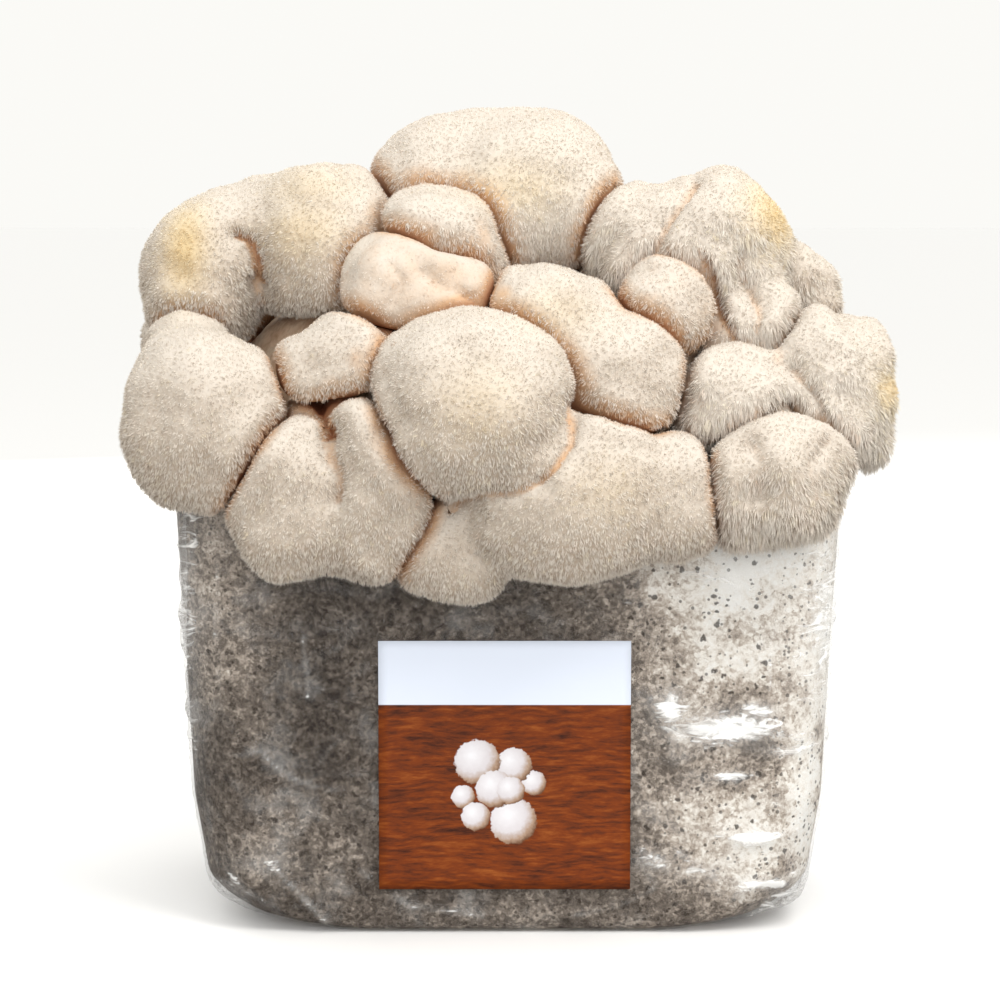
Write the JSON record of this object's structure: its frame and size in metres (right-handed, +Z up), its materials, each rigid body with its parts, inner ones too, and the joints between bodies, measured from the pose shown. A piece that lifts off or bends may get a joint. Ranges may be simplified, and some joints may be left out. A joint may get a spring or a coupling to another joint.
{
  "type": "lion's mane mushroom grow kit",
  "caption": "Bagged sawdust block with a square label on its front and a cluster of shaggy lion's mane mushroom heads growing over its top.",
  "frame": {"origin": "on the surface that the kit stands on, under the middle of the block", "axes": "+Z up, -Y towards the front with the label, +X to the right as seen from the front"},
  "size_m": [0.2331, 0.2019, 0.2505],
  "materials": {
    "substrate": "sawdust bound by white mycelium, matte and mottled",
    "film": "clear thin film, glossy, wrinkled",
    "label": "satin printed label, plain pale band over wood grain",
    "base_flesh": "smooth tan mushroom flesh",
    "fruit_body": "cream, covered in short soft spines"
  },
  "bodies": {
    "root": {"substrate_block": "substrate", "grow_bag": "film", "front_label": "label", "cluster_base": "base_flesh", "upper_left_head": "fruit_body", "left_head": "fruit_body", "left_bud": "fruit_body", "lower_left_head": "fruit_body", "centre_head": "fruit_body", "top_head": "fruit_body", "crown_bud": "fruit_body", "smooth_bud": "fruit_body", "centre_right_head": "fruit_body", "upper_right_head": "fruit_body", "tucked_bud": "fruit_body", "right_head": "fruit_body", "far_right_bud": "fruit_body", "lower_right_head": "fruit_body", "left_side_head": "fruit_body", "right_side_head": "fruit_body", "crown_left_head": "fruit_body", "crown_middle_head": "fruit_body", "crown_right_head": "fruit_body", "back_far_left_head": "fruit_body", "back_left_head": "fruit_body", "back_middle_head": "fruit_body", "back_right_head": "fruit_body", "back_far_right_head": "fruit_body", "low_back_left_head": "fruit_body", "low_back_right_head": "fruit_body"}
  },
  "joints": []
}
